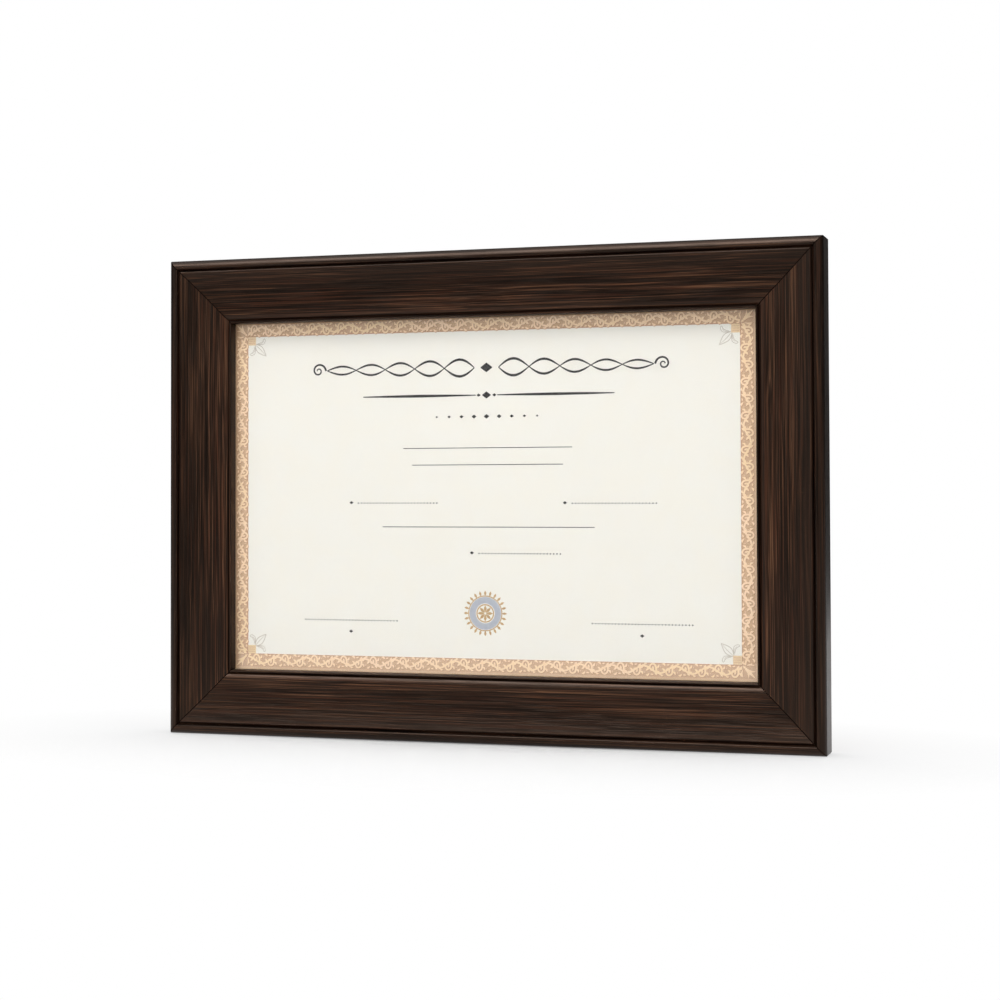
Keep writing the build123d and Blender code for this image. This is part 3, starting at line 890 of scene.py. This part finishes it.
def rule(x0, x1, z, half):
    """A straight rule that swells from fine ends to its middle."""
    return [
        (x0, z, half * 0.35),
        ((x0 * 3 + x1) / 4, z, half * 0.8),
        ((x0 + x1) / 2, z, half),
        ((x0 + x1 * 3) / 4, z, half * 0.8),
        (x1, z, half * 0.35),
    ]


def print_border():
    """The scroll border with its ground, shading, edge line, corner blocks and corner sprigs."""
    print_panels("border_ground", ring_panels(0.0, BORDER_W), ink_ground, 0.0, GROUND_INK_T)
    strip = ring_panels(ORNAMENT_W + STRIP_GAP, BORDER_W)
    print_panels("border_outer_strip", strip, ink_margin, GROUND_INK_T, STRIP_INK_T)
    print_panels("border_edge_line", ring_panels(0.0, EDGE_LINE), ink_shade, GROUND_INK_T, LINE_INK_T)
    strokes = border_strokes()
    shade = [on_border(side, stroke, SHADE_SHIFT, SHADE_WIDEN) for side, stroke in strokes]
    light = [on_border(side, stroke) for side, stroke in strokes]
    print_strokes("border_shading", shade, ink_shade, GROUND_INK_T, smoothness=2)
    print_strokes("border_scrolls", light, ink_light, GROUND_INK_T + SCROLL_RISE, smoothness=2)
    blocks = []
    bars = []
    sprigs = []
    for corner, inward in corner_points():
        blocks.append((corner + inward * CORNER_BLOCK / 2, CORNER_BLOCK, CORNER_BLOCK))
        for bar in range(BAR_COUNT):
            near = corner + Vector((inward.x * BAR_INSET, inward.y * (BAR_START + BAR_PITCH * bar)))
            far_x = near.x + inward.x * (CORNER_BLOCK - 2 * BAR_INSET)
            bars.append([(near.x, near.y, BAR_HALVES[0]), (far_x, near.y, BAR_HALVES[1])])
        start = corner + inward * (CORNER_BLOCK - SPRIG_OVERLAP)
        along = inward.normalized()
        across = Vector((-along.y, along.x))
        for stroke in sprig_motif():
            placed = [(start + along * d + across * e, half) for d, e, half in stroke]
            sprigs.append([(point.x, point.y, half) for point, half in placed])
    print_panels("border_corner_blocks", blocks, ink_block, 0.0, GROUND_INK_T)
    print_strokes("border_corner_bars", bars, ink_margin, GROUND_INK_T + STRIP_INK_T, smoothness=1)
    print_strokes("border_corner_sprigs", sprigs, ink_grey, PEN_LEVEL)


# Rows of the certificate from the top down, each at its height on the sheet
FLOURISH_ROW = 198.8
FLOURISH_HALF_W = 101.0
FLOURISH_SWING = 5.2
FLOURISH_WAVES = 5
FLOURISH_STEPS = 30
SWELLED_ROW = 184.1
SWELLED_ENDS = (6.0, 70.0)
SWELLED_HALF = 0.75
SWELLED_LOZENGES = ((0.0, 2.4), (-4.4, 1.1), (4.4, 1.1))
LOZENGE_ROW = 172.7
LOZENGE_PITCH = 7.0
LOZENGE_REACH = 4
LOZENGE_SIZE = 1.5
LOZENGE_FALL = 0.2
FINE_RULES = ((-47.0, 47.0, 156.0), (-42.0, 42.0, 147.0), (-59.0, 59.0, 113.8))
FINE_HALF = 0.2
DOTTED_RULES = (
    (-73.0, -28.0, 126.6),
    (47.0, 92.0, 126.4),
    (-4.4, 40.4, 99.8),
    (-103.8, -50.8, 63.2),
    (57.6, 110.8, 63.6),
)
DOT_PITCH = 1.8
DOT_R = 0.42
DOT_TOP_R = 0.378
DOT_T = 0.016
DOT_LEVEL = 0.006
SMALL_LOZENGES = ((-77.0, 126.9), (43.0, 126.7), (-8.4, 100.1), (-77.3, 57.2), (84.2, 57.6))
SMALL_LOZENGE_SIZE = 1.1


def print_dots():
    """The dotted rules that are left to write on."""
    to_front = Matrix.Rotation(math.pi / 2, 3, "X")
    bm = bmesh.new()
    for x0, x1, z in DOTTED_RULES:
        count = round((x1 - x0) / DOT_PITCH)
        for dot in range(count + 1):
            made = bmesh.ops.create_cone(
                bm, cap_ends=True, segments=8,
                radius1=DOT_R * MM, radius2=DOT_TOP_R * MM, depth=DOT_T * MM,
            )
            bmesh.ops.rotate(bm, verts=made["verts"], matrix=to_front)
            place = vec(x0 + (x1 - x0) * dot / count, PAPER_FACE - DOT_LEVEL, z)
            bmesh.ops.translate(bm, verts=made["verts"], vec=place)
    mesh = bpy.data.meshes.new("dotted_rules")
    bm.to_mesh(mesh)
    bm.free()
    finish_piece("dotted_rules", mesh, [ink_black], smooth=False)


def lozenge(x, z, size):
    """A small lozenge as one short fat stroke."""
    return [(x - size, z, size * 0.06), (x, z, size * 0.8), (x + size, z, size * 0.06)]


def heading_flourish(half_width, z, swing):
    """A symmetrical pen flourish: two interlaced lines that die away from a lozenge to spiral ends."""
    strokes = [lozenge(0.0, z, swing * 0.62)]
    curl = spiral((-0.2, 0.0), swing * 0.85, 1.1, 180.0, -1.5, 0.55, 16)
    for side in (-1, 1):
        for phase in (0.0, math.pi):
            stroke = []
            for step in range(FLOURISH_STEPS + 1):
                share = step / FLOURISH_STEPS
                wave = math.sin(FLOURISH_WAVES * math.pi * share + phase)
                x = side * (swing * 1.3 + (half_width - swing * 3.2) * share)
                height = swing * (0.92 - 0.55 * share) * wave
                half = 0.24 + 0.46 * abs(wave) * (1 - 0.4 * share)
                stroke.append((x, z + height, half))
            strokes.append(stroke)
        end = side * (half_width - swing * 0.9)
        strokes.append([(side * x + end, z + y, half) for x, y, half in curl])
    return strokes


def print_headings():
    """Wordless pen ornament and rules in the certificate's rows."""
    strokes = heading_flourish(FLOURISH_HALF_W, FLOURISH_ROW, FLOURISH_SWING)
    near, far = SWELLED_ENDS
    strokes.append(rule(-far, -near, SWELLED_ROW, SWELLED_HALF))
    strokes.append(rule(near, far, SWELLED_ROW, SWELLED_HALF))
    for x, size in SWELLED_LOZENGES:
        strokes.append(lozenge(x, SWELLED_ROW, size))
    for place in range(-LOZENGE_REACH, LOZENGE_REACH + 1):
        size = LOZENGE_SIZE - LOZENGE_FALL * abs(place)
        strokes.append(lozenge(place * LOZENGE_PITCH, LOZENGE_ROW, size))
    for x, z in SMALL_LOZENGES:
        strokes.append(lozenge(x, z, SMALL_LOZENGE_SIZE))
    print_strokes("heading_ornament", strokes, ink_black, PEN_LEVEL, smoothness=2)
    fine = [[(x0, z, FINE_HALF), (x1, z, FINE_HALF)] for x0, x1, z in FINE_RULES]
    print_strokes("fine_rules", fine, ink_black, FINE_LEVEL, smoothness=1)


# Seal: rings as (radius, half width), petals as (count, inner end, outer end, half width)
SEAL_CENTRE = Vector((-1.0, 68.0))
SEAL_BAND = (7.0, 1.7)
SEAL_RINGS = ((4.6, 0.32), (9.2, 0.28))
SEAL_RAYS = (24, 9.4, 12.0, 0.62)
SEAL_FLOWER = (8, 0.6, 4.2, 0.75)
SEAL_RING_LEVEL = 0.02
SEAL_LEVEL = 0.03
RING_POINTS = 24


def round_seal(share):
    """The direction from the seal's centre at a share of the full turn."""
    angle = 2 * math.pi * share
    return Vector((math.cos(angle), math.sin(angle)))


def ring_stroke(radius, half):
    """A closed circular stroke about the seal's centre."""
    points = [SEAL_CENTRE + round_seal(step / RING_POINTS) * radius for step in range(RING_POINTS)]
    return [(point.x, point.y, half) for point in points]


def petals(count, inner, outer, half):
    """Leaf strokes round the seal's centre."""
    strokes = []
    for petal in range(count):
        heading = round_seal(petal / count)
        strokes.append(leaf(SEAL_CENTRE + heading * inner, SEAL_CENTRE + heading * outer, half))
    return strokes


def print_seal():
    """A plain rosette seal near the bottom of the certificate."""
    print_strokes("seal_band", [ring_stroke(*SEAL_BAND)], ink_slate, SEAL_LEVEL, closed=True)
    rings = [ring_stroke(*ring) for ring in SEAL_RINGS]
    print_strokes("seal_rings", rings, ink_gold, SEAL_RING_LEVEL, closed=True)
    rays = petals(*SEAL_RAYS) + petals(*SEAL_FLOWER)
    print_strokes("seal_petals", rays, ink_gold, SEAL_LEVEL, smoothness=2)


print_border()
print_dots()
print_headings()
print_seal()


# Finishes of the modelled nodes that stay as they are
NODE_FINISHES = {
    "certificate_sheet": paper,
    "glass_pane": clear_glass(),
    "filler_board": grey_card(),
    "back_panel": hardboard(),
}
NODE_FINISHES["strut_leg"] = NODE_FINISHES["back_panel"]
zinc = plated("zinc_steel", srgb(206, 207, 210), srgb(176, 178, 182), 0.36)
brass = plated("brass_plate", srgb(214, 178, 104), srgb(180, 140, 72), 0.32)
for part in frame["record"]["subparts"]:
    if part["material_slot"] == "zinc_steel":
        NODE_FINISHES[part["node"]] = zinc
    if part["material_slot"] == "brass_plate":
        NODE_FINISHES[part["node"]] = brass
for node, finish in NODE_FINISHES.items():
    mesh = frame["nodes"][node].data
    mesh.materials.clear()
    mesh.materials.append(finish)


# Stage, light and camera
# Places and sizes of the stage are in metres, powers in watts. The floor's glow rises away from the frame.
FLOOR_REACH = 30.0
FLOOR_LEVEL = -0.0002
FLOOR_GLOW = 0.2
FLOOR_NEAR = 0.03
FLOOR_FAR = 0.18
FLOOR_STRETCH = (0.55, 1.0, 1.0)
FILL_LIGHT = 0.6
LAMP_AIM = Vector((0.0, 0.0, 0.13))
FRONT_LAMP = ((-0.2, -1.85, 0.45), (1.6, 1.2), 15.6)
OVERHEAD_LAMP = ((0.0, 0.1, 1.3), (1.2, 0.8), 9.0)
SHEEN_LAMP = ((0.0, -0.8, 1.3), (1.8, 0.65), 33.5)

# Flags: the two ends of their first edge and the runs that this edge is drawn along
FRONT_FLAG = ((-2.5, -0.53, 0.0), (2.5, -0.53, 0.0), ((0.0, -2.53, 0.0), (0.0, 0.0, 2.5)))
RIGHT_FLAG = ((0.19, 0.9, 0.0), (0.19, 0.9, 0.8), ((1.0, 0.0, 0.0), (0.0, -1.5, 0.0)))
LEFT_FLAG = ((-1.1, -0.5, 0.0), (-1.1, -0.5, 0.8), ((0.0, 1.4, 0.0),))
TOP_FLAG = ((-1.5, 0.9, 0.5), (1.5, 0.9, 0.5), ((0.0, 0.0, 1.6),))

# Camera: place, turns in degrees, focal length and the shift of its picture
CAMERA_PLACE = vec(324.6, -1035.6, 131.5)
CAMERA_TURN = 17.947
CAMERA_TILT = 91.472
CAMERA_ROLL = -0.149
CAMERA_LENS = 73.62
CAMERA_SHIFT = (0.0344, -0.0587)


def seen_directly(tree):
    """1 for rays from the camera, from a reflection or through glass, and 0 for light on the object."""
    rays = add(tree, "LightPath").outputs
    mirrored = math_node(tree, "MAXIMUM", rays["Is Glossy Ray"], rays["Is Transmission Ray"])
    seen = math_node(tree, "MAXIMUM", rays["Is Camera Ray"], mirrored)
    unscattered = math_node(tree, "LESS_THAN", rays["Diffuse Depth"], 0.5)
    return math_node(tree, "MULTIPLY", seen, unscattered)


def make_floor():
    """A pale floor that shows white to the camera and keeps the frame's soft shadow."""
    bm = bmesh.new()
    bmesh.ops.create_grid(bm, x_segments=1, y_segments=1, size=FLOOR_REACH)
    bmesh.ops.translate(bm, verts=bm.verts, vec=(0.0, 0.0, FLOOR_LEVEL))
    mesh = bpy.data.meshes.new("floor")
    bm.to_mesh(mesh)
    bm.free()
    floor = bpy.data.objects.new("floor", mesh)
    bpy.context.scene.collection.objects.link(floor)
    material = bpy.data.materials.new("pale_floor")
    material.use_nodes = True
    tree = material.node_tree
    tree.nodes.remove(tree.nodes["Principled BSDF"])
    matt = add(tree, "BsdfDiffuse", Color=grey(0.82))
    glow = add(tree, "Emission", Color=grey(1.0), Strength=1.0)
    place = add(tree, "TexCoord").outputs["Object"]
    place = add(tree, "Mapping", Vector=place, Scale=FLOOR_STRETCH)
    away = add(tree, "VectorMath", {"operation": "LENGTH"})
    tree.links.new(place.outputs["Vector"], away.inputs[0])
    bright = spread(tree, away.outputs["Value"], FLOOR_NEAR, FLOOR_FAR, FLOOR_GLOW, 1.0)
    seen = math_node(tree, "MULTIPLY", seen_directly(tree), bright)
    mixed = add(tree, "MixShader", Fac=seen)
    tree.links.new(matt.outputs["BSDF"], mixed.inputs[1])
    tree.links.new(glow.outputs["Emission"], mixed.inputs[2])
    tree.links.new(mixed.outputs["Shader"], tree.nodes["Material Output"].inputs["Surface"])
    mesh.materials.append(material)


def make_world():
    """White surroundings to look at, with a plainer fill light from all round."""
    world = bpy.data.worlds.new("studio")
    bpy.context.scene.world = world
    world.use_nodes = True
    tree = world.node_tree
    tree.nodes.clear()
    fill = add(tree, "Background", Color=grey(1.0), Strength=FILL_LIGHT)
    white = add(tree, "Background", Color=grey(1.0), Strength=1.0)
    mixed = add(tree, "MixShader", Fac=seen_directly(tree))
    tree.links.new(fill.outputs["Background"], mixed.inputs[1])
    tree.links.new(white.outputs["Background"], mixed.inputs[2])
    out = tree.nodes.new("ShaderNodeOutputWorld")
    tree.links.new(mixed.outputs["Shader"], out.inputs["Surface"])


def make_softbox(name, place, size, power, sheen_only=False):
    """A soft rectangular lamp aimed at the frame, set for glossy rays alone or for matt surfaces alone."""
    lamp = bpy.data.lights.new(name, "AREA")
    lamp.shape = "RECTANGLE"
    lamp.size, lamp.size_y = size
    lamp.energy = power
    light = bpy.data.objects.new(name, lamp)
    light.location = place
    light.rotation_mode = "QUATERNION"
    light.rotation_quaternion = (LAMP_AIM - Vector(place)).to_track_quat("-Z", "Y")
    light.visible_diffuse = not sheen_only
    light.visible_glossy = sheen_only
    light.visible_transmission = False
    bpy.context.scene.collection.objects.link(light)


def make_flag(name, first, second, runs, cloth):
    """A dark cloth round the frame, seen only in reflections, so that the finish keeps its depth."""
    bm = bmesh.new()
    edge = bm.edges.new([bm.verts.new(first), bm.verts.new(second)])
    for run in runs:
        made = bmesh.ops.extrude_edge_only(bm, edges=[edge])
        moved = [part for part in made["geom"] if isinstance(part, bmesh.types.BMVert)]
        bmesh.ops.translate(bm, verts=moved, vec=run)
        edge = [part for part in made["geom"] if isinstance(part, bmesh.types.BMEdge)][0]
    mesh = bpy.data.meshes.new(name)
    bm.to_mesh(mesh)
    bm.free()
    flag = bpy.data.objects.new(name, mesh)
    bpy.context.scene.collection.objects.link(flag)
    mesh.materials.append(cloth)
    flag.visible_camera = False
    flag.visible_diffuse = False
    flag.visible_transmission = False
    flag.visible_shadow = False


def flag_cloth():
    """Dark cloth of the flags."""
    material, _, shader = new_material("flag_cloth")
    shader.inputs["Base Color"].default_value = grey(0.05)
    return material


make_floor()
make_world()
make_softbox("front_softbox", *FRONT_LAMP)
make_softbox("overhead_softbox", *OVERHEAD_LAMP)
make_softbox("sheen_softbox", *SHEEN_LAMP, sheen_only=True)
cloth = flag_cloth()
make_flag("front_flag", *FRONT_FLAG, cloth)
make_flag("right_flag", *RIGHT_FLAG, cloth)
make_flag("left_flag", *LEFT_FLAG, cloth)
make_flag("top_flag", *TOP_FLAG, cloth)

camera_data = bpy.data.cameras.new("camera")
camera_data.lens = CAMERA_LENS
camera_data.shift_x, camera_data.shift_y = CAMERA_SHIFT
camera = bpy.data.objects.new("camera", camera_data)
turn = Matrix.Rotation(math.radians(CAMERA_TURN), 4, "Z")
tilt = Matrix.Rotation(math.radians(CAMERA_TILT), 4, "X")
roll = Matrix.Rotation(math.radians(CAMERA_ROLL), 4, "Z")
camera.matrix_world = Matrix.Translation(CAMERA_PLACE) @ turn @ tilt @ roll
bpy.context.scene.collection.objects.link(camera)
bpy.context.scene.camera = camera
bpy.context.scene.view_settings.view_transform = "Standard"
